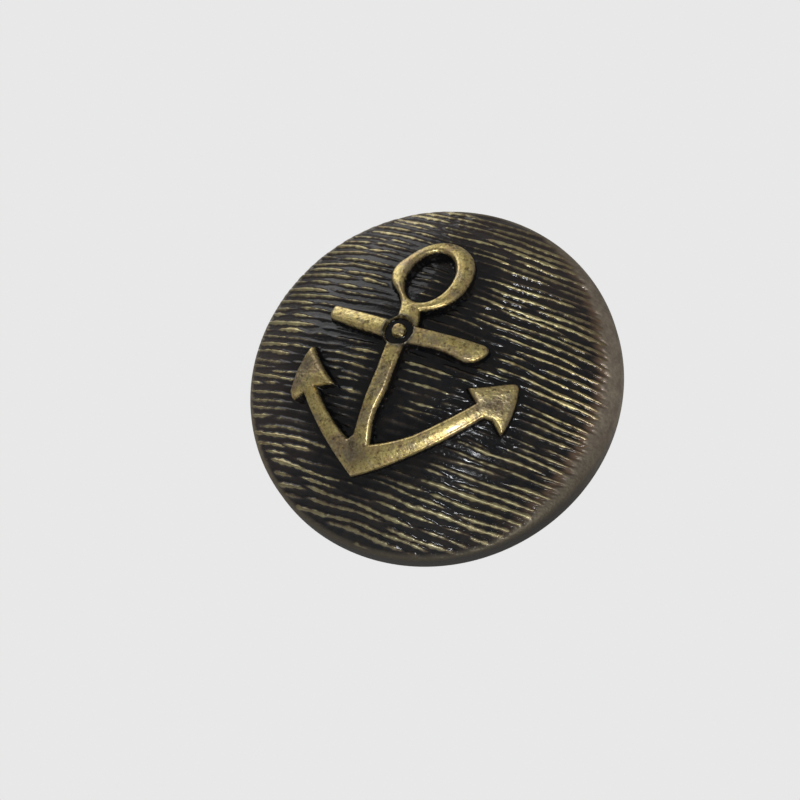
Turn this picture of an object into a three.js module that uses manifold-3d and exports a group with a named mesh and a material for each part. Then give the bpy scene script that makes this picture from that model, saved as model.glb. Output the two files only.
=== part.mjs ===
// A two-part shank button for sewing on: a struck brass front shell crimped over a pressed
// back shell, with a swivelling wire loop held in the back shell's boss.
// Millimetres. Each piece is drawn about the button's own axis, with the face towards +Z and
// the anchor upright along +Y. The last group turns the button as it is worn: face towards
// -Y, anchor upright along +Z, origin at the middle of the wire loop's eye.
import * as THREE from 'three';
import { mergeVertices } from 'three/addons/utils/BufferGeometryUtils.js';
import Module from 'manifold-3d';

const wasm = await Module();
wasm.setup();

// Front shell
const faceDiameter = 20;
const domeRise = 4.0;          // crown above the top of the skirt
const shoulderRadius = 0.8;    // rounding between dome and skirt
const frontSheet = 0.35;
const skirtHeight = 1.1;       // top of the skirt to the back of the crimp
const crimpCorner = 0.38;      // outside rounding where the skirt turns under
const crimpReach = 1.0;        // how far the crimp reaches in from the skirt

// Anchor struck in the dome
const anchorHeight = 13.6;
const anchorRelief = 0.4;
const bossGrooveRelief = 0.06; // height left at the bottom of the ring round the boss

// Back shell, filler and washer
const backSheet = 0.35;
const panInset = 1.5;          // foot of the pan's sloping wall, in from the skirt
const panSlope = 0.45;         // run of that sloping wall
const fillerThickness = 0.7;
const washerThickness = 0.5;
const washerReach = 1.1;       // how far the washer overlaps the pan round the boss

// Wire loop
const wireDiameter = 1.2;
const eyeWidth = 3.2;
const legGap = 0.1;            // between the two legs
const footGrip = 0.9;          // how far each foot reaches past the hole
const footBend = 0.1;          // inside radius where a leg turns into its foot
const neckBend = 0.6;          // centre-line radius where a leg opens into the eye
const neckStandOff = 0.1;      // straight leg showing behind the boss

// Clearances
const fitGap = 0.04;           // between pieces that the crimp holds together
const swivelGap = 0.08;        // between the turning loop and what holds it

// Roundness
const turns = 64;
const wireSides = 12;
const wireSteps = 76;

const faceRadius = faceDiameter / 2;
const wireRadius = wireDiameter / 2;

const brass = { color: 0x6f6238, roughness: 0.42, metalness: 0.9 };
const looks = {
  front_shell: brass,
  back_shell: { color: 0x675b36, roughness: 0.4, metalness: 0.9 },
  shank_loop: { color: 0x7a6d43, roughness: 0.35, metalness: 0.95 },
  retaining_washer: { color: 0x8f9193, roughness: 0.45, metalness: 0.9 },
  filler_disc: { color: 0x9c8664, roughness: 0.95, metalness: 0.0 },
};

// A radius and a height in a turned section.
const at = (r, z) => new THREE.Vector2(r, z);

// Points along an arc of a turned section, ends included.
function arc(centre, radius, fromAngle, toAngle, steps) {
  return Array.from({ length: steps + 1 }, (_, i) => {
    const angle = fromAngle + (toAngle - fromAngle) * i / steps;
    return at(centre.x + radius * Math.cos(angle), centre.y + radius * Math.sin(angle));
  });
}

// A closed geometry's vertices and triangles as a solid.
function solid(geometry) {
  const bare = geometry.clone();
  bare.deleteAttribute('normal');
  bare.deleteAttribute('uv');
  const merged = mergeVertices(bare, 1e-5);
  return new wasm.Manifold(new wasm.Mesh({
    numProp: 3,
    vertProperties: merged.attributes.position.array,
    triVerts: new Uint32Array(merged.index.array),
  }));
}

function geometryOf(body) {
  const mesh = body.getMesh();
  const geometry = new THREE.BufferGeometry();
  geometry.setAttribute('position', new THREE.BufferAttribute(mesh.vertProperties, 3));
  geometry.setIndex(new THREE.BufferAttribute(mesh.triVerts, 1));
  geometry.computeVertexNormals();
  return geometry;
}

// A section turned about the button's axis. The section runs from the front of the piece,
// out and round to its back.
function turned(section) {
  const closed = [...section, section[0].clone()].reverse();
  return new THREE.LatheGeometry(closed, turns).rotateX(Math.PI / 2);
}

// A flat outline made a prism through the whole button.
function prism(shape) {
  const options = { depth: 2 * domeRise, bevelEnabled: false, curveSegments: 5 };
  return new THREE.ExtrudeGeometry(shape, options);
}

function piece(name, geometry) {
  const mesh = new THREE.Mesh(geometry, new THREE.MeshStandardMaterial(looks[name]));
  mesh.name = name;
  return mesh;
}

// The dome is part of a sphere that runs smoothly into the shoulder.
const shoulderCentre = at(faceRadius - shoulderRadius, 0);
const domeRadius = (shoulderCentre.x ** 2 + domeRise ** 2 - shoulderRadius ** 2)
  / (2 * (domeRise - shoulderRadius));
const domeCentre = at(0, domeRise - domeRadius);
const domeEdgeAngle = Math.atan2(-domeCentre.y, shoulderCentre.x);

// The dome and shoulder, from the crown to the top of the skirt, at an offset from the face.
function domeSection(offset, steps) {
  return [
    ...arc(domeCentre, domeRadius + offset, Math.PI / 2, domeEdgeAngle, steps),
    ...arc(shoulderCentre, shoulderRadius + offset, domeEdgeAngle, 0, 4).slice(1),
  ];
}

// The radius of that section at a level, at an offset from the face.
function sectionRadius(level, offset) {
  const shoulder = shoulderRadius + offset;
  if (level <= 0) return faceRadius + offset;
  if (level < shoulder * Math.sin(domeEdgeAngle)) {
    return shoulderCentre.x + Math.sqrt(shoulder ** 2 - level ** 2);
  }
  return Math.sqrt((domeRadius + offset) ** 2 - (level - domeCentre.y) ** 2);
}

// Levels, front to back, each set by the piece before it.
const crimpBack = -skirtHeight;
const flangeBack = crimpBack + frontSheet + fitGap;
const flangeFront = flangeBack + backSheet;
const fillerBack = flangeFront + fitGap;
const washerFront = fillerBack - fitGap;
const washerBack = washerFront - washerThickness;
const panFront = washerBack - fitGap;
const panBack = panFront - backSheet;
const footLevel = washerBack - swivelGap - wireRadius;
const bossInside = footLevel - wireRadius - swivelGap;
const bossBack = bossInside - backSheet;

// Radii about the axis, each set by what it has to clear.
const legOffset = wireRadius + legGap / 2;
const holeRadius = legOffset + wireRadius + swivelGap;
const footEnd = holeRadius + footGrip;
const pocketRadius = Math.hypot(footEnd, wireRadius) + swivelGap;
const bossRadius = pocketRadius + backSheet;
const washerRadius = bossRadius + washerReach;
const flangeRadius = faceRadius - frontSheet - fitGap;
const crimpRadius = faceRadius - crimpReach;
const panRadius = faceRadius - panInset;

// Struck anchor, drawn in millimetres at its real height, crown of the ring at the top.
const drawnHeight = 13.6;
const bossCentre = [-1.41, 0.72];
const bossGroove = { inside: 0.33, outside: 0.81, collar: 0.06 };   // collar: the rim round it

function closedOutline(start, strokes) {
  const shape = new THREE.Shape();
  shape.moveTo(...start);
  for (const stroke of strokes) {
    if (stroke.length === 2) shape.lineTo(...stroke);
    else shape.quadraticCurveTo(...stroke);
  }
  return shape;
}

function circleShape([x, y], radius) {
  const shape = new THREE.Shape();
  shape.absarc(x, y, radius, 0, 2 * Math.PI);
  return shape;
}

// Shank, arms and flukes in one outline, from the crown's point up the right arm.
function hookOutline() {
  return closedOutline([-1.2, -6.95], [
    [0.1, -6.35, 1.45, -5.2],      // right arm, outer edge
    [3.1, -3.85, 4.35, -2.1],
    [4.8, -2.05], [5.45, -2.6],    // right fluke's outer barb
    [5.75, -1.2, 5.42, -0.05],
    [5.35, 0.25, 5.0, 0.05],       // right fluke's point
    [4.0, -0.55], [3.15, -1.0],    // right fluke's inner barb
    [3.8, -1.55],
    [2.6, -3.1, 1.3, -4.2],        // right arm, inner edge
    [0.3, -4.9, -0.7, -5.25],
    [-0.92, -4.2], [-0.95, -3.5], [-0.8, -2.4], [-0.9, 0.5],
    [-1.8, 0.5], [-1.7, -1.5], [-1.76, -3.0], [-1.7, -5.0], [-1.95, -5.3],
    [-3.4, -4.6, -4.75, -3.15],    // left arm, inner edge
    [-3.75, -2.82],                // left fluke's inner barb
    [-5.0, -2.05, -5.8, -1.05],    // left fluke's point
    [-6.2, -2.0, -6.15, -3.0],
    [-6.1, -3.65], [-5.8, -4.05],  // left fluke's outer barb
    [-5.3, -3.55],
    [-4.4, -4.55, -3.3, -5.45],    // left arm, outer edge
    [-2.3, -6.25, -1.2, -6.95],
  ]);
}

function stockOutline() {
  return closedOutline([-5.42, 1.37], [
    [-4.1, 1.27], [-2.4, 1.2], [-0.5, 1.2], [1.3, 1.33], [3.0, 1.42],
    [3.5, 1.4, 3.3, 0.95],         // right end, cut back to a lobe
    [3.0, 0.3, 2.4, 0.22],
    [1.9, 0.3, 1.35, 0.38],
    [0.6, 0.36], [-0.65, 0.22], [-2.0, 0.22], [-3.2, 0.28], [-4.1, 0.38], [-5.35, 0.58],
    [-5.6, 0.6, -5.58, 0.95],      // left end
    [-5.58, 1.36, -5.42, 1.37],
  ]);
}

// Ring with its neck, and the hole through the ring.
function ringOutline() {
  const shape = closedOutline([-0.6, 1.0], [
    [-0.6, 1.7, -0.85, 2.1],
    [0.8, 2.75, 0.87, 4.4],        // right side of the ring
    [0.9, 6.4, -0.9, 6.65],
    [-2.3, 6.7, -3.05, 5.0],       // left side of the ring
    [-3.75, 3.9, -2.8, 3.15],
    [-2.1, 2.7, -1.9, 2.0],        // neck
    [-1.75, 1.0],
  ]);
  const hole = new THREE.Path();
  hole.absellipse(-1.27, 4.25, 1.27, 1.72, 0, 2 * Math.PI, true, 0);
  shape.holes.push(hole);
  return shape;
}

function frontShell() {
  const outside = [
    ...domeSection(0, 14),
    ...arc(at(faceRadius - crimpCorner, crimpBack + crimpCorner), crimpCorner, 0, -Math.PI / 2, 4),
  ];
  const inside = [
    at(crimpRadius, crimpBack),
    at(crimpRadius, crimpBack + frontSheet),
    at(faceRadius - frontSheet, crimpBack + frontSheet),
    ...domeSection(-frontSheet, 10).reverse(),
  ];
  const shell = solid(turned([...outside, ...inside]));

  const capTo = (height) => solid(turned([
    ...domeSection(height, 14), at(faceRadius + height, -domeRise), at(0, -domeRise),
  ]));
  const grow = anchorHeight / drawnHeight;
  const motif = (shape) => solid(prism(shape)).scale([grow, grow, 1]).translate([0, 0, -domeRise / 2]);
  const core = capTo(-frontSheet / 2);
  const [grooveOutside, grooveInside] = [bossGroove.outside, bossGroove.inside]
    .map((radius) => motif(circleShape(bossCentre, radius)));
  const groove = grooveOutside.subtract(grooveInside).subtract(capTo(bossGrooveRelief));
  const anchor = motif(hookOutline())
    .add(motif(stockOutline()))
    .add(motif(ringOutline()))
    .add(motif(circleShape(bossCentre, bossGroove.outside + bossGroove.collar)))
    .intersect(capTo(anchorRelief))
    .subtract(core)
    .subtract(groove);
  return piece('front_shell', geometryOf(shell.add(anchor)));
}

function backShell() {
  const section = [
    at(pocketRadius, panFront),
    at(panRadius - panSlope, panFront),
    at(panRadius, flangeFront),
    at(flangeRadius, flangeFront),
    at(flangeRadius, flangeBack),
    at(panRadius + backSheet / 2, flangeBack),
    at(panRadius - panSlope + backSheet / 2, panBack),
    at(bossRadius, panBack),
    ...arc(at(bossRadius - backSheet, bossBack + backSheet), backSheet, 0, -Math.PI / 2, 3),
    at(holeRadius, bossBack),
    at(holeRadius, bossInside),
    at(pocketRadius, bossInside),
  ];
  return piece('back_shell', turned(section));
}

// A board disc that backs the dome, its edge shaped to sit under the shoulder.
function fillerDisc() {
  const levels = 4;
  const edge = Array.from({ length: levels + 1 }, (_, i) => {
    const level = fillerBack + fillerThickness * (1 - i / levels);
    return at(sectionRadius(level, -frontSheet - fitGap), level);
  });
  return piece('filler_disc', turned([at(0, edge[0].y), ...edge, at(0, fillerBack)]));
}

function retainingWasher() {
  return piece('retaining_washer', turned([
    at(0, washerFront),
    at(washerRadius, washerFront),
    at(washerRadius, washerBack),
    at(0, washerBack),
  ]));
}

// The loop's wire runs from one foot through the hole, round the eye and back to the other.
const neckLevel = bossBack - neckStandOff;
const neckCentre = legOffset + neckBend;
const eyeRadius = eyeWidth / 2 + wireRadius;
const eyeDrop = Math.sqrt((eyeRadius + neckBend) ** 2 - neckCentre ** 2);
const eyeLevel = neckLevel - eyeDrop;
const neckAngle = Math.atan2(eyeDrop, neckCentre);

function shankLoop() {
  const bendRadius = wireRadius + footBend;
  const quarter = Math.PI / 2;
  const route = new THREE.Path();
  route.moveTo(footEnd, footLevel);
  route.absarc(legOffset + bendRadius, footLevel - bendRadius, bendRadius, quarter, 2 * quarter);
  route.absarc(neckCentre, neckLevel, neckBend, Math.PI, Math.PI + neckAngle);
  route.absarc(0, eyeLevel, eyeRadius, neckAngle, Math.PI - neckAngle, true);
  route.absarc(-neckCentre, neckLevel, neckBend, -neckAngle, 0);
  route.absarc(-legOffset - bendRadius, footLevel - bendRadius, bendRadius, 0, quarter);
  route.lineTo(-footEnd, footLevel);

  // The loop stands in the upright plane through the axis.
  const line = route.getSpacedPoints(wireSteps).map((p) => new THREE.Vector3(0, p.x, p.y));
  const path = new THREE.CatmullRomCurve3(line);
  const section = new THREE.Shape();
  for (let i = 0; i < wireSides; i += 1) {
    const angle = 2 * Math.PI * i / wireSides;
    const [x, y] = [wireRadius * Math.cos(angle), wireRadius * Math.sin(angle)];
    if (i === 0) section.moveTo(x, y);
    else section.lineTo(x, y);
  }
  const wire = new THREE.ExtrudeGeometry(section, { steps: wireSteps, extrudePath: path });
  return piece('shank_loop', wire);
}

const button = new THREE.Group();
button.add(frontShell(), fillerDisc(), retainingWasher(), backShell(), shankLoop());
button.position.y = eyeLevel;
button.rotation.x = Math.PI / 2;

const part = new THREE.Group();
part.add(button);

export default part;
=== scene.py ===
import math

import bpy
import numpy as np
from mathutils import Matrix, Vector


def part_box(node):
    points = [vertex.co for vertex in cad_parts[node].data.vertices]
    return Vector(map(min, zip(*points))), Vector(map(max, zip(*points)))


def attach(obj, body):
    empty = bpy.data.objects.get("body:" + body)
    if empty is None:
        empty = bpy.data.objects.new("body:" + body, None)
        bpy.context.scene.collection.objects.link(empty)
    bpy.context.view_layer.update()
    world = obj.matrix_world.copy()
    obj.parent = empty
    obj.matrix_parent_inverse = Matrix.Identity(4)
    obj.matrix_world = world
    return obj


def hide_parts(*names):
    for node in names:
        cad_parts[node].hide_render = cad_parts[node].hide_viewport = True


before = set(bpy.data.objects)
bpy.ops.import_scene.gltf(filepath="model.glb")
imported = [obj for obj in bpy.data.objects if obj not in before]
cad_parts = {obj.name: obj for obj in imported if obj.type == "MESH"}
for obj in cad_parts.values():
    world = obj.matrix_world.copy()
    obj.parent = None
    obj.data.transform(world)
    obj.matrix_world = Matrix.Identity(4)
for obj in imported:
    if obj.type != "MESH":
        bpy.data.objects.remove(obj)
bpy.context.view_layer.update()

# Every piece is modelled in millimetres about the button's own axis, face up, and is then
# stood up and set in its place by seat(): the face looks along -Y and the anchor points to +Z.
mm = 0.001
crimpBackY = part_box("front_shell")[1].y / mm    # the back of the crimp, in millimetres
skirtHeight = 1.1                               # top of the skirt to the back of the crimp
skirtTopY = crimpBackY - skirtHeight            # the top of the skirt is height 0 in every section


def deselectAll():
    if bpy.context.mode != "OBJECT":
        bpy.ops.object.mode_set(mode="OBJECT")
    bpy.ops.object.select_all(action="DESELECT")


def makeActive(piece):
    deselectAll()
    piece.select_set(True)
    bpy.context.view_layer.objects.active = piece


def startPiece(name):
    piece = bpy.context.view_layer.objects.active
    piece.name = name
    piece.data.name = name
    return piece


def arcPoints(centre, radius, fromDegrees, toDegrees, steps):
    angles = np.radians(np.linspace(fromDegrees, toDegrees, steps + 1))
    return [(centre[0] + radius * math.cos(a), centre[1] + radius * math.sin(a)) for a in angles]


def ringOutTo(current, section):
    # extrudes the selected ring from point to point of a turned section, each (radius, height)
    for radius, height in section:
        bpy.ops.mesh.extrude_region_move()
        grow = radius / current[0]
        bpy.ops.transform.resize(value=(grow, grow, 1), center_override=(0, 0, 0))
        bpy.ops.transform.translate(value=(0, 0, height - current[1]))
        current = (radius, height)


def turnPiece(name, section, sides, capped):
    deselectAll()
    bpy.ops.mesh.primitive_circle_add(vertices=sides, radius=section[0][0],
                                      location=(0, 0, section[0][1]))
    piece = startPiece(name)
    bpy.ops.object.transform_apply(location=True, rotation=True, scale=True)
    bpy.ops.object.mode_set(mode="EDIT")
    bpy.ops.mesh.select_all(action="SELECT")
    ringOutTo(section[0], section[1:])
    if capped:                                  # a disc: both ends close over the axis
        bpy.ops.mesh.select_all(action="DESELECT")
        bpy.ops.mesh.select_non_manifold()
        bpy.ops.mesh.fill_holes(sides=0)
    else:                                       # a ring: the last point meets the first
        bpy.ops.mesh.select_all(action="SELECT")
        bpy.ops.mesh.remove_doubles(threshold=0.001)
    bpy.ops.mesh.select_all(action="SELECT")
    bpy.ops.mesh.normals_make_consistent(inside=False)
    bpy.ops.object.mode_set(mode="OBJECT")
    return piece


def softenEdges(piece, width, segments=2, angle=30):
    makeActive(piece)
    bevel = piece.modifiers.new("softEdges", "BEVEL")
    bevel.width = width
    bevel.segments = segments
    bevel.limit_method = "ANGLE"
    bevel.angle_limit = math.radians(angle)
    bpy.ops.object.modifier_apply(modifier=bevel.name)


def seat(piece, smoothAngle=40):
    # stands a finished piece up, brings it to metres and leaves its object at the origin
    makeActive(piece)
    piece.data.transform(Matrix.Rotation(math.pi / 2, 4, "X"))
    piece.data.transform(Matrix.Translation((0, skirtTopY, 0)))
    piece.data.transform(Matrix.Scale(mm, 4))
    bpy.ops.object.shade_smooth_by_angle(angle=math.radians(smoothAngle))
    piece.data.update()


def storeValues(piece, name, values):
    layer = piece.data.attributes.new(name, "FLOAT", "POINT")
    layer.data.foreach_set("value", np.asarray(values, np.float32))


def easeBetween(low, high, value):
    t = np.clip((value - low) / (high - low), 0, 1)
    return t * t * (3 - 2 * t)


class Signal:
    # one output of a shader node, which plain arithmetic can be written on
    def __init__(self, finish, socket):
        self.finish = finish
        self.socket = socket

    def maths(self, operation, other, swapped=False):
        values = [other, self] if swapped else [self, other]
        return self.finish.add("ShaderNodeMath", {"operation": operation}, dict(enumerate(values)))

    def __add__(self, other):
        return self.maths("ADD", other)

    def __sub__(self, other):
        return self.maths("SUBTRACT", other)

    def __mul__(self, other):
        return self.maths("MULTIPLY", other)

    def __rsub__(self, other):
        return self.maths("SUBTRACT", other, swapped=True)

    __radd__ = __add__
    __rmul__ = __mul__

    def ease(self, low, high):
        settings = {"interpolation_type": "SMOOTHSTEP"}
        return self.finish.add("ShaderNodeMapRange", settings, {"Value": self, 1: low, 2: high})


class Finish:
    # a material, with one method that adds a node and short forms of the nodes used most
    def __init__(self, name):
        self.material = bpy.data.materials.new(name)
        self.material.use_nodes = True
        self.tree = self.material.node_tree
        self.tree.nodes.clear()
        place = self.add("ShaderNodeTexCoord", {}, {}, "Object")
        self.inMm = self.add("ShaderNodeMapping", {}, {"Vector": place, "Scale": (1000, 1000, 1000)})

    def add(self, kind, settings, sockets, output=0):
        node = self.tree.nodes.new(kind)
        for key, value in settings.items():
            setattr(node, key, value)
        for key, value in sockets.items():
            if isinstance(value, Signal):
                self.tree.links.new(value.socket, node.inputs[key])
            else:
                node.inputs[key].default_value = value
        return Signal(self, node.outputs[output])

    def noise(self, scale, detail=4, rough=0.55, stretch=(1, 1, 1), shift=0.0):
        place = self.inMm
        if stretch != (1, 1, 1) or shift:
            sockets = {"Vector": place, "Scale": stretch, "Location": (shift, shift, shift)}
            place = self.add("ShaderNodeMapping", {}, sockets)
        sockets = {"Vector": place, "Scale": scale, "Detail": detail, "Roughness": rough}
        return self.add("ShaderNodeTexNoise", {}, sockets)

    def value(self, name):
        return self.add("ShaderNodeAttribute", {"attribute_name": name}, {}, "Fac")

    def blend(self, share, first, second):
        settings = {"data_type": "RGBA"}
        return self.add("ShaderNodeMix", settings, {0: share, 6: first, 7: second}, 2)

    def tone(self, colour, amount):
        # a colour made lighter or darker by a number
        settings = {"operation": "SCALE"}
        return self.add("ShaderNodeVectorMath", settings, {0: colour, "Scale": amount})

    def bump(self, height, distance, strength=1.0, under=None):
        sockets = {"Height": height, "Distance": distance * mm, "Strength": strength}
        if under is not None:
            sockets["Normal"] = under
        return self.add("ShaderNodeBump", {}, sockets)

    def done(self, sockets):
        shader = self.add("ShaderNodeBsdfPrincipled", {}, sockets)
        output = self.tree.nodes.new("ShaderNodeOutputMaterial")
        self.tree.links.new(shader.socket, output.inputs["Surface"])
        return self.material


def rgb(red, green, blue):
    return (red, green, blue, 1)


faceShape = {
    "radius": 10.0,
    "domeRise": 4.0,
    "shoulderRadius": 0.8,
    "skirtHeight": skirtHeight,
    "crimpCorner": 0.38,
    "crimpReach": 1.0,
    "sheet": 0.35,
    "cellsAcross": 204,        # mesh cells over the dome, fewer along the lines than across them
    "cellsUp": 374,
    "crowding": 0.35,          # how much narrower the cells are in the middle
}

shoulderX = faceShape["radius"] - faceShape["shoulderRadius"]
domeRadius = ((shoulderX ** 2 + faceShape["domeRise"] ** 2 - faceShape["shoulderRadius"] ** 2)
              / (2 * (faceShape["domeRise"] - faceShape["shoulderRadius"])))
domeCentre = faceShape["domeRise"] - domeRadius
edgeAngle = math.degrees(math.atan2(-domeCentre, shoulderX))
domeEdge = shoulderX + faceShape["shoulderRadius"] * math.cos(math.radians(edgeAngle))


def domeHeight(x, y, offset=0.0):
    return domeCentre + np.sqrt(np.maximum((domeRadius + offset) ** 2 - x * x - y * y, 0))


waveCut = {
    "pitch": 0.44,
    "depth": 0.15,             # crest to the bottom of a cut
    "haloDepth": 0.05,         # further down close to the anchor
    "halfWidth": (0.10, 0.18),
    "lengthLeft": (1.6, 6.5),
    "lengthRight": (2.0, 9.0),
    "sway": 0.0065,            # how much the lines curve up towards the right
    "climb": -0.012,           # and their slope on the left
    "marginEdge": 9.98,        # where the lines end, measured over the dome and round its shoulder
    "marginBite": 0.72,        # how much wider the plain margin is on the right
    "marginWidth": 0.3,
    "seed": 11,
}

anchorForm = {
    "relief": 0.36,
    "edge": 0.23,              # width of the rounded, steep edge
    "bossCentre": (-1.41, 0.72),
    "spread": 0.06,            # how far the foot of the rounded edge runs outside the outline
    "pip": 0.33,
    "groove": 0.81,
    "collar": 0.06,            # the thin rim left standing round the groove
    "grooveRelief": 0.1,
    "dishes": ((4.75, -1.15, 0.7), (-5.6, -2.3, 0.55), (-1.35, -5.85, 0.7)),
    "dishDepth": 0.07,
}

hookLine = ((-1.2, -6.95), [
    (0.1, -6.35, 1.45, -5.2),        # right arm, outer edge
    (3.1, -3.85, 4.35, -2.1),
    (4.8, -2.05), (5.45, -2.6),      # right fluke
    (5.75, -1.2, 5.42, -0.05),
    (5.35, 0.25, 5.0, 0.05),
    (4.0, -0.55), (3.15, -1.0),
    (3.8, -1.55),
    (2.6, -3.1, 1.3, -4.2),          # right arm, inner edge
    (0.3, -4.9, -0.7, -5.25),
    (-0.92, -4.2), (-0.95, -3.5),    # shank
    (-0.8, -2.4), (-0.9, 0.5),
    (-1.8, 0.5), (-1.7, -1.5),
    (-1.76, -3.0), (-1.7, -5.0), (-1.95, -5.3),
    (-3.4, -4.6, -4.75, -3.15),      # left arm, inner edge
    (-3.75, -2.82),                  # left fluke
    (-5.0, -2.05, -5.8, -1.05),
    (-6.2, -2.0, -6.15, -3.0),
    (-6.1, -3.65), (-5.8, -4.05),
    (-5.3, -3.55),
    (-4.4, -4.55, -3.3, -5.45),      # left arm, outer edge
    (-2.3, -6.25, -1.2, -6.95),
])
stockLine = ((-5.42, 1.37), [
    (-4.1, 1.27), (-2.4, 1.2), (-0.5, 1.2), (1.3, 1.33), (3.0, 1.42),
    (3.5, 1.4, 3.3, 0.95),
    (3.0, 0.3, 2.4, 0.22),
    (1.9, 0.3, 1.35, 0.38),
    (0.6, 0.36), (-0.65, 0.22), (-2.0, 0.22), (-3.2, 0.28), (-4.1, 0.38), (-5.35, 0.58),
    (-5.6, 0.6, -5.58, 0.95),
    (-5.58, 1.36, -5.42, 1.37),
])
ringLine = ((-0.6, 1.0), [
    (-0.6, 1.7, -0.85, 2.1),
    (0.8, 2.75, 0.87, 4.4),
    (0.9, 6.4, -0.9, 6.65),
    (-2.3, 6.7, -3.05, 5.0),
    (-3.75, 3.9, -2.8, 3.15),
    (-2.1, 2.7, -1.9, 2.0),
    (-1.75, 1.0),
])
ringHole = {"centre": (-1.27, 4.25), "radii": (1.27, 1.72)}


def tracePoints(line, steps=9):
    start, strokes = line
    points = [start]
    for stroke in strokes:
        here = points[-1]
        if len(stroke) == 2:
            points.append(stroke)
            continue
        for t in np.linspace(0, 1, steps + 1)[1:]:
            pull = [(1 - t) ** 2, 2 * t * (1 - t), t * t]
            points.append(tuple(pull[0] * here[i] + pull[1] * stroke[i] + pull[2] * stroke[i + 2]
                                for i in (0, 1)))
    return np.array(points[:-1] if points[-1] == points[0] else points)


def depthInside(points, x, y):
    # distance to a closed outline, positive inside it
    nearest = np.full(x.shape, 1e9)
    inside = np.zeros(x.shape, bool)
    for (ax, ay), (bx, by) in zip(points, np.roll(points, -1, 0)):
        dx, dy = bx - ax, by - ay
        t = np.clip(((x - ax) * dx + (y - ay) * dy) / max(dx * dx + dy * dy, 1e-12), 0, 1)
        nearest = np.minimum(nearest, np.hypot(x - ax - t * dx, y - ay - t * dy))
        if ay != by:
            crosses = ((ay > y) != (by > y)) & (x < (bx - ax) * (y - ay) / (by - ay) + ax)
            inside ^= crosses
    return np.where(inside, nearest, -nearest)


def anchorDepth(x, y):
    holeX, holeY = ringHole["centre"]
    across, up = ringHole["radii"]
    turns = np.linspace(0, 2 * np.pi, 61)[:-1]
    hole = np.stack([holeX + across * np.cos(turns), holeY + up * np.sin(turns)], 1)
    ring = np.minimum(depthInside(tracePoints(ringLine), x, y), -depthInside(hole, x, y))
    hook = depthInside(tracePoints(hookLine), x, y)
    stock = depthInside(tracePoints(stockLine), x, y)
    bossX, bossY = anchorForm["bossCentre"]
    boss = anchorForm["groove"] + anchorForm["collar"] - np.hypot(x - bossX, y - bossY)
    return np.maximum.reduce([ring, hook, stock, boss]) + anchorForm["spread"]


def streamLevel(x, y):
    # the lines run along steady values of this: they curve up to the right and wander slowly
    return (y - waveCut["sway"] * np.maximum(x, 0) ** 2 - waveCut["climb"] * x
            - 0.05 * np.sin(0.34 * x + 0.5 * y + 1.3) - 0.035 * np.sin(0.9 * x - 0.42 * y + 4.0)
            - 0.010 * np.sin(2.2 * x + 1.9 * y + 0.6))


def waveLines(x, y):
    # the cut lines' ridges from 0 to 1, and how brightly each is rubbed
    rng = np.random.default_rng(waveCut["seed"])
    ridge, rubbed = np.zeros(x.shape), np.zeros(x.shape)
    level = streamLevel(x, y)
    reach = faceShape["radius"] + 1
    for row in np.arange(-reach - 0.7, reach, waveCut["pitch"]):
        start = -reach + rng.uniform(-2, 0)
        while start < reach:
            along = np.clip((start + 8) / 12, 0, 1)
            shortest, longest = (np.array(waveCut["lengthLeft"]) * (1 - along)
                                 + np.array(waveCut["lengthRight"]) * along)
            end = start + rng.uniform(shortest, longest)
            half = rng.uniform(*waveCut["halfWidth"]) * (1 - 0.12 * along)
            lift, slant, phase = rng.normal(0, 0.04), rng.normal(0, 0.024), rng.uniform(0, 6)
            tall, shine = rng.uniform(0.7, 1.0), rng.uniform(0.15, 1.0) + 0.25 * (1 - along)
            if rng.random() < 0.05:                       # now and then a short broad patch
                end, half = start + rng.uniform(0.9, 1.6), half * 1.5
            near = (x > start) & (x < end) & (np.abs(level - row - lift) < 3 * half)
            px, py = x[near], level[near]
            middle = row + lift + slant * (px - (start + end) / 2) + 0.02 * np.sin(2.1 * px + phase)
            taper = easeBetween(0, 0.8, px - start) * easeBetween(0, 1.1, end - px)
            uneven = 0.17 * np.sin(4.3 * px + 3 * phase) + 0.15 * np.sin(11.7 * px + 5 * phase)
            width = half * (0.35 + 0.65 * taper) * (1 + uneven)
            across = np.clip(np.abs(py - middle) / width, 0, 1)
            height = tall * taper ** 0.6 * (1 - across ** 2) ** 1.3
            rubbed[near] = np.where(height > ridge[near], shine + 0.6 * uneven, rubbed[near])
            ridge[near] = np.maximum(ridge[near], height)
            start = end - rng.uniform(0.1, 1.2)
    return ridge, rubbed


def plainSide(x, y):
    # from 1 on the right, where the plain margin is widest, to 0 on the left
    return easeBetween(0.35, 1, np.cos(np.arctan2(y, x) - math.radians(14)))


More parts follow.
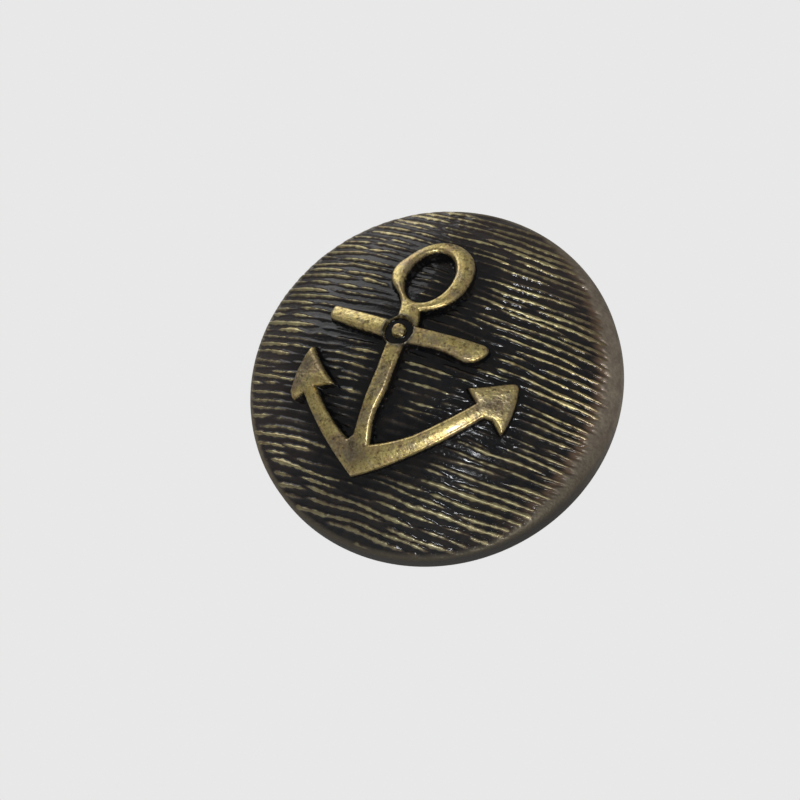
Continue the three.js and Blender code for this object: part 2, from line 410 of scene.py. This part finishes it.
def faceRelief(x, y, travel):
    # height over the plain dome, and the masks that the finish reads
    toRight = plainSide(x, y)
    depth = anchorDepth(x, y)
    ridge, rubbed = waveLines(x, y)
    halo = easeBetween(1.35, 0.2, -depth)
    ridge = ridge ** (1 + 0.8 * easeBetween(2.6, 0.6, -depth))          # finer close to the anchor
    ridge = ridge * (1 - 0.55 * halo) * (1 - easeBetween(0.35, 0.05, -depth))
    level = streamLevel(x, y)
    ragged = 0.09 * np.sin(6.1 * level + 2 * np.sin(1.7 * level)) + 0.08 * np.sin(15.5 * level)
    innerEdge = waveCut["marginEdge"] - waveCut["marginBite"] * toRight + ragged * (0.4 + 0.6 * toRight)
    half = waveCut["marginWidth"] / 2
    margin = easeBetween(innerEdge - half, innerEdge + half, travel)
    ground = -waveCut["depth"] - waveCut["haloDepth"] * halo
    height = (ground + waveCut["depth"] * ridge) * (1 - margin) - 0.01 * margin

    t = np.clip(depth / anchorForm["edge"], 0, 1)
    rise = np.sqrt(1 - (1 - t) ** 2.4)
    top = anchorForm["relief"] + 0.03 * easeBetween(0.15, 0.6, depth)
    hollow = np.zeros(x.shape)
    for centreX, centreY, size in anchorForm["dishes"]:
        hollow += np.exp(-((x - centreX) ** 2 + (y - centreY) ** 2) / size ** 2)
    top = top - anchorForm["dishDepth"] * hollow
    bossX, bossY = anchorForm["bossCentre"]
    fromBoss = np.hypot(x - bossX, y - bossY)
    wall = 0.06
    inGroove = (easeBetween(anchorForm["pip"], anchorForm["pip"] + wall, fromBoss)
                * easeBetween(anchorForm["groove"], anchorForm["groove"] - wall, fromBoss))
    top = top * (1 - inGroove) + anchorForm["grooveRelief"] * inGroove
    height = np.where(depth > 0, height + (top - height) * rise, height)
    nearCollar = np.exp(-((fromBoss - anchorForm["groove"] - 0.04) / 0.1) ** 2)
    masks = {
        "crest": ridge * (1 - margin),
        "rubbed": rubbed,
        "anchor": np.where(depth > 0, t, 0) * (1 - inGroove),
        "collar": nearCollar,
        "hollow": hollow,
        "margin": margin,
        "halo": halo,
        "rimward": easeBetween(8.3, 9.8, travel + 0.5 * toRight) * (0.45 + 0.55 * toRight),
        "outerGround": easeBetween(5.0, 9.0, np.hypot(x, y)) * easeBetween(-6, 3, y - x),
        "edgeBand": easeBetween(innerEdge - 0.55, innerEdge - 0.1, travel) * toRight,
        "nearEdge": np.where(depth > 0, 1 - np.clip(depth / 0.45, 0, 1), 0) * (1 - inGroove),
    }
    return height, masks


def makeFace():
    deselectAll()
    bpy.ops.mesh.primitive_grid_add(x_subdivisions=faceShape["cellsAcross"],
                                    y_subdivisions=faceShape["cellsUp"], size=2)
    face = startPiece("stampedFace")
    flat = np.empty(len(face.data.vertices) * 3)
    face.data.vertices.foreach_get("co", flat)
    u, v = flat.reshape(-1, 3)[:, :2].T
    u = u - faceShape["crowding"] * np.sin(math.pi * u) / math.pi
    x, y = u * np.sqrt(1 - v * v / 2) * domeEdge, v * np.sqrt(1 - u * u / 2) * domeEdge
    face.data.vertices.foreach_set("co", np.stack([x, y, domeHeight(x, y)], 1).ravel())
    face.data.update()

    radius, sheet = faceShape["radius"], faceShape["sheet"]
    corner, back = faceShape["crimpCorner"], -faceShape["skirtHeight"]
    crimpEdge = radius - faceShape["crimpReach"]
    section = arcPoints((shoulderX, 0), faceShape["shoulderRadius"], edgeAngle, 0, 6)[1:]
    section += arcPoints((radius - corner, back + corner), corner, 0, -90, 4)
    section += [(crimpEdge + 0.06, back), (crimpEdge, back + 0.06), (crimpEdge, back + sheet)]
    section += [(radius - sheet, back + sheet)]
    for inner in (9.3, 5.2):
        section.append((inner, float(domeHeight(inner, 0, -sheet))))
    bpy.ops.object.mode_set(mode="EDIT")
    bpy.ops.mesh.select_mode(type="VERT")
    bpy.ops.mesh.select_all(action="DESELECT")
    bpy.ops.mesh.select_non_manifold()
    ringOutTo((domeEdge, float(domeHeight(domeEdge, 0))), section)
    bpy.ops.mesh.edge_face_add()
    bpy.ops.mesh.select_all(action="SELECT")
    bpy.ops.mesh.normals_make_consistent(inside=False)
    bpy.ops.object.mode_set(mode="OBJECT")

    # strike the pattern: each point of the dome moves along the dome's own normal
    points = np.empty(len(face.data.vertices) * 3)
    face.data.vertices.foreach_get("co", points)
    points = points.reshape(-1, 3)
    x, y, z = points.T
    outward = np.hypot(x, y)
    onDome = (outward < domeEdge + 0.001) & (np.abs(z - domeHeight(x, y)) < 0.02)
    onShoulder = (outward >= domeEdge + 0.001) & (z > 0.001) & ~onDome
    shoulderTurn = np.arctan2(z, outward - shoulderX)
    travel = np.where(onShoulder, domeEdge + faceShape["shoulderRadius"]
                      * (math.radians(edgeAngle) - shoulderTurn), outward)
    struck = onDome | onShoulder
    height, masks = faceRelief(x[struck], y[struck], travel[struck])
    normal = points - (0, 0, domeCentre)
    atShoulder = points - np.stack([x, y, 0 * z], 1) * (shoulderX / np.maximum(outward, 0.01))[:, None]
    normal = np.where(onShoulder[:, None], atShoulder, normal)[struck]
    points[struck] += normal / np.linalg.norm(normal, axis=1)[:, None] * height[:, None]
    face.data.vertices.foreach_set("co", points.ravel())
    for name, values in masks.items():
        everywhere = np.full(len(points), 1.0 if name == "margin" else 0.0)
        everywhere[struck] = values
        storeValues(face, name, everywhere)
    # painted light: 1 on the left, where the rim catches the light and is painted brassier
    storeValues(face, "paintedLightSide", 1 - plainSide(points[:, 0], points[:, 1]))
    # painted shade: 1 on the lower side of the face, where the lines and rim are painted darker as if
    # in shade
    paintedShadeSide = easeBetween(0.2, 0.9, np.cos(np.arctan2(points[:, 1], points[:, 0]) + 1.1))
    storeValues(face, "paintedShadeSide", paintedShadeSide)
    # painted shade with a bluish painted reflection: the skirt below the shoulder, on the lower side
    storeValues(face, "skirt", easeBetween(0.3, -0.1, z) * paintedShadeSide)
    seat(face, 60)
    return face


clearance = {
    "fit": 0.04,               # between pieces that the crimp holds together
    "swivel": 0.08,            # round the turning wire
}


def stackPieces():
    # heights from the crimp backwards and radii outwards, each set by the piece before it
    stack = {}
    sheet, wire = backPlate["sheet"], wireLoop["wire"] / 2
    stack["flangeBack"] = -faceShape["skirtHeight"] + faceShape["sheet"] + clearance["fit"]
    stack["flangeFront"] = stack["flangeBack"] + sheet
    stack["washerBack"] = stack["flangeFront"] - bossWasher["thickness"]
    stack["panFront"] = stack["washerBack"] - clearance["fit"]
    stack["panBack"] = stack["panFront"] - sheet
    stack["footLevel"] = stack["washerBack"] - clearance["swivel"] - wire
    stack["bossInside"] = stack["footLevel"] - wire - clearance["swivel"]
    stack["bossBack"] = stack["bossInside"] - sheet
    stack["legOffset"] = wire + wireLoop["legGap"] / 2
    stack["holeRadius"] = stack["legOffset"] + wire + clearance["swivel"]
    stack["footEnd"] = stack["holeRadius"] + wireLoop["footGrip"]
    stack["pocketRadius"] = math.hypot(stack["footEnd"], wire) + clearance["swivel"]
    stack["bossRadius"] = stack["pocketRadius"] + sheet
    return stack


backPlate = {
    "sheet": 0.35,
    "panInset": 1.5,           # foot of the pan's sloping wall, in from the skirt
    "panSlope": 0.45,
    "lineRadius": 6.75,        # the fine pressed line round the pan
    "lineDepth": 0.05,
    "bossFillet": 0.18,
    "sides": 160,
}


def makeBackPlate(stack):
    sheet, fillet, line = backPlate["sheet"], backPlate["bossFillet"], backPlate["lineRadius"]
    panFront, panBack, bossBack = stack["panFront"], stack["panBack"], stack["bossBack"]
    flangeFront, flangeBack = stack["flangeFront"], stack["flangeBack"]
    pocket, boss, hole = stack["pocketRadius"], stack["bossRadius"], stack["holeRadius"]
    flange = faceShape["radius"] - faceShape["sheet"] - clearance["fit"]
    pan = faceShape["radius"] - backPlate["panInset"]
    foot = pan - backPlate["panSlope"]
    lineWidth, holeEdge = 3 * backPlate["lineDepth"], 0.1
    section = [(pocket, stack["bossInside"]), (pocket, panFront), (foot, panFront)]
    section += [(pan, flangeFront), (flange, flangeFront), (flange, flangeBack)]
    section += [(pan + sheet / 2, flangeBack), (foot + sheet / 2, panBack)]
    section += [(line + lineWidth, panBack), (line, panBack + backPlate["lineDepth"])]
    section += [(line - lineWidth, panBack), (boss + fillet, panBack)]
    section += arcPoints((boss + fillet, panBack - fillet), fillet, 90, 180, 4)[1:]
    section += arcPoints((boss - sheet, bossBack + sheet), sheet, 0, -90, 6)
    section += [(hole + holeEdge, bossBack), (hole, bossBack + holeEdge)]
    section += [(hole, stack["bossInside"]), (pocket, stack["bossInside"])]
    plate = turnPiece("pressedBack", section, backPlate["sides"], capped=False)
    softenEdges(plate, 0.035)
    seat(plate, 35)
    return plate


bossWasher = {
    "thickness": 0.5,
    "reach": 1.1,              # how far it overlaps the pan round the boss
    "edge": 0.05,
    "sides": 96,
}


def makeWasher(stack):
    outside = stack["bossRadius"] + bossWasher["reach"]
    front, back, middle = stack["flangeFront"], stack["washerBack"], 0.4
    section = [(middle, front), (outside, front), (outside, back), (middle, back)]
    washer = turnPiece("bossWasher", section, bossWasher["sides"], capped=True)
    softenEdges(washer, bossWasher["edge"])
    seat(washer, 35)
    return washer


boardFiller = {
    "thickness": 0.7,
    "middle": 0.5,             # radius of the first ring of its mesh
    "sides": 96,
}


def makeFiller(stack):
    back = stack["flangeFront"] + clearance["fit"]
    front = back + boardFiller["thickness"]
    inset = faceShape["sheet"] + clearance["fit"]
    side = faceShape["radius"] - inset
    shoulder = faceShape["shoulderRadius"] - inset
    topAngle = math.degrees(math.asin(min(front / shoulder, 0.83)))
    edge = arcPoints((side - shoulder, 0), shoulder, topAngle, 0, 4)
    section = [(boardFiller["middle"], front), (edge[0][0] - 0.05, front)] + edge
    section += [(side, back), (boardFiller["middle"], back)]
    filler = turnPiece("boardFiller", section, boardFiller["sides"], capped=True)
    seat(filler, 35)
    return filler


wireLoop = {
    "wire": 1.2,
    "legGap": 0.1,             # between the two legs
    "footGrip": 0.9,           # how far each foot reaches past the hole
    "footBend": 0.1,           # inside radius where a leg turns into its foot
    "neckBend": 0.6,           # where a leg opens into the eye, at the wire's middle
    "neckStandOff": 0.1,
    "eyeWidth": 3.2,
    "endEdge": 0.06,
}


def loopRoute(stack):
    # half of the wire's middle line, from a foot to the far end of the eye, as (across, height)
    wire, neck = wireLoop["wire"] / 2, wireLoop["neckBend"]
    bend = wire + wireLoop["footBend"]
    eye = wireLoop["eyeWidth"] / 2 + wire
    neckX, neckZ = stack["legOffset"] + neck, stack["bossBack"] - wireLoop["neckStandOff"]
    drop = math.sqrt((eye + neck) ** 2 - neckX ** 2)
    turn = math.degrees(math.atan2(drop, neckX))
    half = [(stack["footEnd"], stack["footLevel"])]
    half += arcPoints((stack["legOffset"] + bend, stack["footLevel"] - bend), bend, 90, 180, 8)
    half += arcPoints((neckX, neckZ), neck, 180, 180 + turn, 10)
    half += arcPoints((0, neckZ - drop), eye, turn, -90, 44)[1:]
    return half + [(-px, pz) for px, pz in reversed(half[:-1])]


def makeWireLoop(stack):
    deselectAll()
    route = loopRoute(stack)
    curve = bpy.data.curves.new("wireLoop", "CURVE")
    curve.dimensions = "3D"
    curve.bevel_depth = wireLoop["wire"] / 2
    curve.bevel_resolution = 6
    curve.use_fill_caps = True
    spline = curve.splines.new("POLY")
    spline.points.add(len(route) - 1)
    for point, (across, height) in zip(spline.points, route):
        point.co = (0, across, height, 1)
    loop = bpy.data.objects.new("wireLoop", curve)
    bpy.context.scene.collection.objects.link(loop)
    makeActive(loop)
    bpy.ops.object.convert(target="MESH")
    loop = startPiece("wireLoop")
    bpy.ops.object.mode_set(mode="EDIT")
    bpy.ops.mesh.select_all(action="SELECT")
    bpy.ops.mesh.remove_doubles(threshold=0.0005)
    bpy.ops.mesh.normals_make_consistent(inside=False)
    bpy.ops.object.mode_set(mode="OBJECT")
    softenEdges(loop, wireLoop["endEdge"], 2, 60)
    seat(loop, 50)
    return loop


faceTones = {
    "lineLight": rgb(0.56, 0.50, 0.26),
    "lineDark": rgb(0.38, 0.30, 0.15),
    "lineAtRim": rgb(0.17, 0.122, 0.078),
    # painted shade: the lines' darker, greyer tone on the lower side
    "linePaintedShade": rgb(0.24, 0.23, 0.15),
    "groundCool": rgb(0.005, 0.006, 0.008),
    "groundWarm": rgb(0.016, 0.013, 0.011),
    "groundOuter": rgb(0.036, 0.027, 0.024),
    "flankDark": rgb(0.055, 0.04, 0.03),
    "flankLight": rgb(0.105, 0.077, 0.052),
    "flankAtRim": rgb(0.15, 0.095, 0.06),
    "anchorLight": rgb(0.74, 0.62, 0.25),
    "anchorDark": rgb(0.50, 0.40, 0.15),
    "anchorGold": rgb(0.56, 0.42, 0.12),
    "anchorCopper": rgb(0.46, 0.29, 0.16),
    "anchorGrey": rgb(0.25, 0.205, 0.17),
    "anchorEdge": rgb(0.60, 0.44, 0.22),
    "anchorHollow": rgb(0.20, 0.165, 0.115),
    "freckle": rgb(0.17, 0.12, 0.045),
    "speck": rgb(0.085, 0.06, 0.03),
    "collar": rgb(0.11, 0.1, 0.085),
    "rimLight": rgb(0.37, 0.31, 0.235),
    "rimDark": rgb(0.25, 0.205, 0.16),
    # painted light: a brassier rim tone on the left side, where the rim catches the light
    "rimPaintedLight": rgb(0.25, 0.215, 0.14),
    # painted shade: the rim's lower side
    "rimPaintedShade": rgb(0.085, 0.075, 0.058),
    # painted shade with a bluish painted reflection on the skirt
    "skirtPaintedShade": rgb(0.052, 0.05, 0.055),
}


def antiqueFace():
    skin = Finish("antiqueBrassFace")
    crest, rubbed, anchor = skin.value("crest"), skin.value("rubbed"), skin.value("anchor")
    margin, collar, nearEdge = skin.value("margin"), skin.value("collar"), skin.value("nearEdge")
    paintedLightSide, skirt, halo = skin.value("paintedLightSide"), skin.value("skirt"), skin.value("halo")
    rimward, hollow = skin.value("rimward"), skin.value("hollow")
    edgeBand, paintedShadeSide = skin.value("edgeBand"), skin.value("paintedShadeSide")
    outerGround = skin.value("outerGround")
    mottle = skin.noise(1.6, 5, 0.7)
    grain = skin.noise(7, 4, 0.7, shift=3.0)
    speck = skin.noise(3.6, 4, 0.75, shift=23.0).ease(0.54, 0.62)
    freckle = skin.noise(8, 3, 0.7, shift=41.0).ease(0.5, 0.66)
    streak = skin.noise(1.0, 4, 0.6, stretch=(1.4, 5, 8), shift=7.0)
    copperPatch = skin.noise(1.3, 4, 0.7, shift=11.0).ease(0.5, 0.6)
    greyPatch = skin.noise(0.9, 4, 0.65, shift=19.0).ease(0.48, 0.6)
    goldPatch = skin.noise(2.4, 4, 0.7, shift=31.0).ease(0.48, 0.62)

    # rubbed lines: bare brass along the crests, broken up along each line
    bareLine = (crest + rubbed * 0.35 + streak * 0.45 + grain * 0.45).ease(1.06, 1.42)
    lineBrass = skin.blend(mottle.ease(0.35, 0.65), faceTones["lineLight"], faceTones["lineDark"])
    lineBrass = skin.tone(lineBrass, 0.15 + 0.45 * rubbed + 0.6 * grain)
    lineBrass = skin.blend(rimward * 0.75, lineBrass, faceTones["lineAtRim"])
    # painted shade: the lines darker and greyer on the lower side
    lineBrass = skin.blend(paintedShadeSide * 0.4, lineBrass, faceTones["linePaintedShade"])
    blackGround = skin.blend(mottle.ease(0.35, 0.65), faceTones["groundCool"], faceTones["groundWarm"])
    blackGround = skin.blend(outerGround * 0.7, blackGround, faceTones["groundOuter"])
    flankBrown = skin.blend(grain.ease(0.3, 0.7), faceTones["flankDark"], faceTones["flankLight"])
    flank = skin.blend((crest + grain * 0.25).ease(0.2, 0.85), blackGround, flankBrown)
    flank = skin.tone(flank, 1 - 0.5 * halo)
    flank = skin.blend(edgeBand * 0.75, flank, faceTones["flankAtRim"])
    tone = skin.blend(bareLine, flank, lineBrass)

    # anchor: aged brass, mottled, with coppery and grey patches
    anchorBrass = skin.blend(mottle.ease(0.3, 0.7), faceTones["anchorLight"], faceTones["anchorDark"])
    anchorBrass = skin.blend(goldPatch * 0.6, anchorBrass, faceTones["anchorGold"])
    anchorBrass = skin.blend(copperPatch * 0.55, anchorBrass, faceTones["anchorCopper"])
    anchorBrass = skin.blend(greyPatch * 0.6, anchorBrass, faceTones["anchorGrey"])
    anchorBrass = skin.blend(nearEdge * 0.4, anchorBrass, faceTones["anchorEdge"])
    anchorBrass = skin.blend(hollow * 0.8, anchorBrass, faceTones["anchorHollow"])
    anchorBrass = skin.tone(anchorBrass, 0.35 + 1.25 * grain)
    anchorBrass = skin.blend(freckle * 0.5, anchorBrass, faceTones["freckle"])
    anchorBrass = skin.blend(speck * 0.7, anchorBrass, faceTones["speck"])
    anchorBrass = skin.blend(collar * 0.85, anchorBrass, faceTones["collar"])
    onAnchor = (anchor + (grain - 0.5) * 0.3).ease(0.15, 0.45)
    tone = skin.blend(onAnchor, tone, anchorBrass)

    # rim: smooth brown-grey satin, brassier in patches; a brassier tint on the left is painted light,
    # the darker lower side is painted shade, and the dark bluish skirt below it is painted shade with a
    # painted reflection
    rimTone = skin.blend(mottle.ease(0.35, 0.65), faceTones["rimLight"], faceTones["rimDark"])
    # painted light: the rim turned brassier on the left, where it catches the light
    rimTone = skin.blend(paintedLightSide * 0.6, rimTone, faceTones["rimPaintedLight"])
    # painted shade: the rim darkened on its lower side
    rimTone = skin.blend(paintedShadeSide * 0.9, rimTone, faceTones["rimPaintedShade"])
    # painted shade with a bluish painted reflection: the skirt below the shoulder on the lower side
    rimTone = skin.blend(skirt * 0.7, rimTone, faceTones["skirtPaintedShade"])
    rimTone = skin.tone(rimTone, 0.6 + 0.6 * grain)
    tone = skin.blend(margin, tone, rimTone)

    bare = (bareLine + onAnchor + 0.7 * margin).ease(0, 1)
    rough = 0.1 + 0.28 * bareLine + 0.4 * margin + 0.24 * onAnchor + 0.06 * grain
    pimples = skin.noise(6.5, 2, 0.5, stretch=(0.7, 1, 1), shift=5.0)
    surface = skin.bump(pimples, 0.03, 0.9)
    surface = skin.bump(grain, 0.009, 0.6, surface)
    return skin.done({"Base Color": tone, "Metallic": bare, "Roughness": rough, "Normal": surface,
                      "Specular IOR Level": 0.1, "Coat Weight": 0.32 * (1 - margin),
                      "Coat Roughness": 0.13})


def plainBrass(name, light, dark, roughness, stretch):
    skin = Finish(name)
    mottle = skin.noise(0.9, 5, 0.6)
    grain = skin.noise(10, 3, 0.6, stretch=stretch)
    stain = skin.noise(0.5, 5, 0.65, shift=4.0).ease(0.48, 0.7)
    tone = skin.blend(mottle.ease(0.3, 0.7), light, dark)
    tone = skin.blend(stain * 0.6, tone, rgb(0.06, 0.052, 0.04))
    tone = skin.tone(tone, 0.75 + 0.5 * grain)
    rough = roughness + 0.15 * grain + 0.1 * stain
    surface = skin.bump(grain, 0.01, 0.5)
    return skin.done({"Base Color": tone, "Metallic": 0.95, "Roughness": rough, "Normal": surface})


def washerSteel():
    skin = Finish("blankedSteel")
    grain = skin.noise(12, 3, 0.6, stretch=(6, 1, 1))
    tone = skin.blend(grain, rgb(0.42, 0.42, 0.41), rgb(0.55, 0.55, 0.54))
    return skin.done({"Base Color": tone, "Metallic": 0.95, "Roughness": 0.3 + 0.2 * grain,
                      "Normal": skin.bump(grain, 0.008, 0.5)})


def pressedBoard():
    skin = Finish("pressedBoard")
    fibre = skin.noise(4, 6, 0.7, stretch=(1, 3, 1))
    tone = skin.blend(fibre, rgb(0.30, 0.22, 0.13), rgb(0.47, 0.37, 0.24))
    return skin.done({"Base Color": tone, "Roughness": 0.88 + 0.1 * fibre,
                      "Normal": skin.bump(fibre, 0.04, 0.6)})


def clothe(piece, material, body, slot, *nodes):
    piece.data.materials.clear()
    piece.data.materials.append(material)
    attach(piece, body)
    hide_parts(*nodes)
    print("made", piece.name, "with", len(piece.data.polygons), "faces, on", body)


stack = stackPieces()
clothe(makeFace(), antiqueFace(), "button", "face_brass", "front_shell")
backBrass = plainBrass("darkenedBrassBack", rgb(0.30, 0.25, 0.15), rgb(0.20, 0.165, 0.10),
                       0.32, (1, 1, 1))
clothe(makeBackPlate(stack), backBrass, "button", "back_brass", "back_shell")
wireBrass = plainBrass("drawnBrassWire", rgb(0.40, 0.34, 0.20), rgb(0.26, 0.215, 0.13),
                       0.28, (6, 1, 1))
clothe(makeWireLoop(stack), wireBrass, "loop", "loop_wire", "shank_loop")
clothe(makeWasher(stack), washerSteel(), "button", "washer_steel", "retaining_washer")
clothe(makeFiller(stack), pressedBoard(), "button", "filler_board", "filler_disc")
print("all pieces made and clothed")


studio = {
    "floorRadius": 8,
    "floorDrop": 0.13,         # floor under the button's axis; the button is held above it
    "floorTone": (0.80, 0.80, 0.80),
    "floorLift": 0.42,         # brightens the floor for the camera alone
    "backdrop": (0.807, 0.807, 0.807),
    "surround": 0.41,          # how bright the room is to the metal
}


def makeFloor():
    deselectAll()
    bpy.ops.mesh.primitive_circle_add(vertices=96, radius=studio["floorRadius"], fill_type="NGON",
                                      location=(0, 0, -studio["floorDrop"]))
    floor = startPiece("paleFloor")
    skin = Finish("palePaper")
    fibre = skin.noise(0.4, 3, 0.5)
    tone = skin.blend(fibre * 0.04, (*studio["floorTone"], 1), rgb(0.76, 0.76, 0.76))
    seen = skin.add("ShaderNodeLightPath", {}, {}, "Is Camera Ray")
    floor.data.materials.append(skin.done({
        "Base Color": tone, "Roughness": 0.8, "Emission Color": skin.tone(tone, seen),
        "Emission Strength": studio["floorLift"]}))


def makeSurround():
    world = bpy.data.worlds.new("paleRoom")
    bpy.context.scene.world = world
    world.use_nodes = True
    tree = world.node_tree
    tree.nodes.clear()
    seen = tree.nodes.new("ShaderNodeBackground")
    seen.inputs["Color"].default_value = (*studio["backdrop"], 1)
    felt = tree.nodes.new("ShaderNodeBackground")
    felt.inputs["Color"].default_value = (*studio["backdrop"], 1)
    felt.inputs["Strength"].default_value = studio["surround"]
    rays = tree.nodes.new("ShaderNodeLightPath")
    pick = tree.nodes.new("ShaderNodeMixShader")
    out = tree.nodes.new("ShaderNodeOutputWorld")
    tree.links.new(rays.outputs["Is Camera Ray"], pick.inputs[0])
    tree.links.new(felt.outputs[0], pick.inputs[1])
    tree.links.new(seen.outputs[0], pick.inputs[2])
    tree.links.new(pick.outputs[0], out.inputs["Surface"])


studioLights = {
    "frontLight": {"place": (0.05, -0.187, -0.051), "size": 0.016, "power": 0.11,
                   "colour": (0.93, 0.96, 1)},
    "skyLight": {"place": (-0.14, -0.06, 0.11), "size": 0.14, "power": 0.09},
    "lowLight": {"place": (0.066, -0.03, -0.058), "size": 0.02, "power": 0.028,
                 "colour": (1, 0.97, 0.9)},
    "backLight": {"place": (-0.08, 0.14, 0.08), "size": 0.1, "power": 0.09},
}


def addSoftLight(name, place, size, power, colour=(1, 1, 1)):
    # a round light that faces the button
    light = bpy.data.lights.new(name, "AREA")
    light.shape = "DISK"
    light.size = size
    light.energy = power
    light.color = colour
    lamp = bpy.data.objects.new(name, light)
    bpy.context.scene.collection.objects.link(lamp)
    lamp.location = place
    lamp.rotation_mode = "QUATERNION"
    lamp.rotation_quaternion = (-Vector(place)).to_track_quat("-Z", "Y")
    lamp.visible_camera = False


cameraSet = {
    "azimuth": 20.0,           # where it stands, round from in front of the face, in degrees
    "elevation": -16.5,        # a little below the button
    "roll": 23.8,
    "distance": 0.125,         # from the middle of the rim
    "focal": 106.5,
    "aside": (-0.00178, -0.00094),
}


def makeCamera():
    data = bpy.data.cameras.new("camera")
    data.lens = cameraSet["focal"]
    data.sensor_width = 36
    data.clip_start = 0.001
    data.clip_end = 10
    camera = bpy.data.objects.new("camera", data)
    bpy.context.scene.collection.objects.link(camera)
    bpy.context.scene.camera = camera
    turn = (Matrix.Rotation(math.radians(cameraSet["azimuth"]), 4, "Z")
            @ Matrix.Rotation(math.radians(90 - cameraSet["elevation"]), 4, "X")
            @ Matrix.Rotation(math.radians(cameraSet["roll"]), 4, "Z"))
    rimCentre = Vector((0, skirtTopY * mm, 0))
    camera.matrix_world = (Matrix.Translation(rimCentre) @ turn
                           @ Matrix.Translation((*cameraSet["aside"], cameraSet["distance"])))


makeFloor()
makeSurround()
makeCamera()
for name, light in studioLights.items():
    addSoftLight(name, **light)
bpy.context.scene.view_settings.view_transform = "Standard"
print("studio set")
